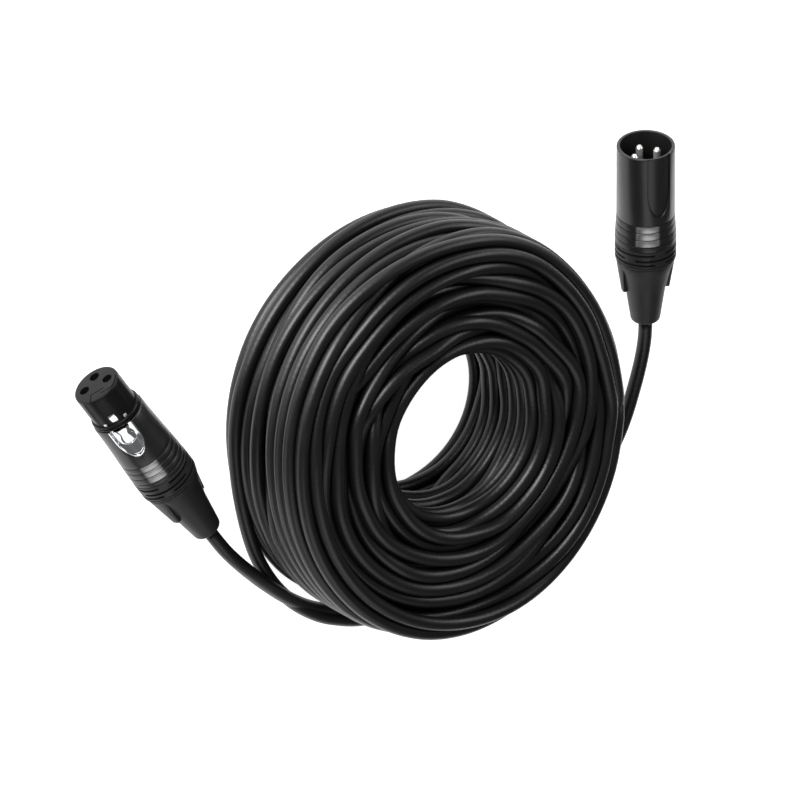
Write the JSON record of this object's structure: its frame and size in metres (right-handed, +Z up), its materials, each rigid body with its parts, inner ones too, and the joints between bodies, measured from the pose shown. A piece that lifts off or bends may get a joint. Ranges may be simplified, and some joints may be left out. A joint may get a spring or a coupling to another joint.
{
  "type": "coiled microphone cable",
  "caption": "Coiled round audio cable with a latching three-pole socket plug on one end and a three-pin plug on the other.",
  "frame": {"origin": "middle of the whole object's footprint, on the surface that it lies on", "axes": "+Z up along the coil's axis, +X from the male plug's side to the female plug's side, both mouths towards -Y"},
  "size_m": [0.2326, 0.1481, 0.046],
  "materials": {
    "jacket": "satin",
    "black_metal": "satin",
    "black_plastic": "gloss",
    "soft_plastic": "matte",
    "contacts": "polished",
    "chrome": "polished",
    "wire_red": "satin",
    "wire_white": "satin",
    "wire_bare": "satin"
  },
  "bodies": {
    "cable": {"cable_coil": "jacket", "lead_to_female": "jacket", "lead_to_male": "jacket", "male_shell": "black_metal", "male_insert": "black_plastic", "male_pin_1": "contacts", "male_pin_2": "contacts", "male_pin_3": "contacts", "male_ground_spring": "contacts", "male_signal_wire_2": "wire_red", "male_signal_wire_3": "wire_white", "male_screen_wire_1": "wire_bare", "male_cable_end": "jacket", "female_insert": "black_plastic", "female_shell": "black_metal", "female_collar_ring": "black_plastic", "female_socket_1": "contacts", "female_socket_2": "contacts", "female_socket_3": "contacts", "female_ground_spring": "contacts", "female_latch_pin": "contacts", "female_latch_spring": "contacts", "female_signal_wire_2": "wire_red", "female_signal_wire_3": "wire_white", "female_screen_wire_1": "wire_bare", "female_cable_end": "jacket"},
    "male_clamp": {"male_chuck": "black_plastic"},
    "male_gland": {"male_bushing": "soft_plastic", "male_boot": "soft_plastic"},
    "female_clamp": {"female_chuck": "black_plastic"},
    "female_gland": {"female_bushing": "soft_plastic", "female_boot": "soft_plastic"},
    "latch_lever": {"female_latch": "chrome"}
  },
  "joints": [
    {"name": "male_clamp_slide", "type": "slide", "parent": "cable", "child": "male_clamp", "axis": [0, 0.9914, -0.1305], "range_m": [0, 0.0025]},
    {"name": "male_gland_turn", "type": "hinge", "parent": "male_clamp", "child": "male_gland", "pos_m": [-0.1066, -0.02374, 0.01028], "axis": [0, 0.9914, -0.1305], "range_deg": [0, 901]},
    {"name": "female_clamp_slide", "type": "slide", "parent": "cable", "child": "female_clamp", "axis": [-0.4688, 0.8781, 0.0958], "range_m": [0, 0.0025]},
    {"name": "female_gland_turn", "type": "hinge", "parent": "female_clamp", "child": "female_gland", "pos_m": [0.08867, -0.01396, 0.01232], "axis": [-0.4688, 0.8781, 0.0958], "range_deg": [0, 901]},
    {"name": "latch_press", "type": "hinge", "parent": "cable", "child": "latch_lever", "pos_m": [0.10059, -0.02939, 0.01577], "axis": [0.7277, 0.4455, -0.5216], "range_deg": [0, 4.5], "stiffness_Nm_per_rad": 0.5, "springref_deg": -5.73}
  ],
  "couplings": [
    {"joint": "male_gland_turn", "follows": "male_clamp_slide", "rad_per_m": 6283.2},
    {"joint": "female_gland_turn", "follows": "female_clamp_slide", "rad_per_m": 6283.2}
  ]
}
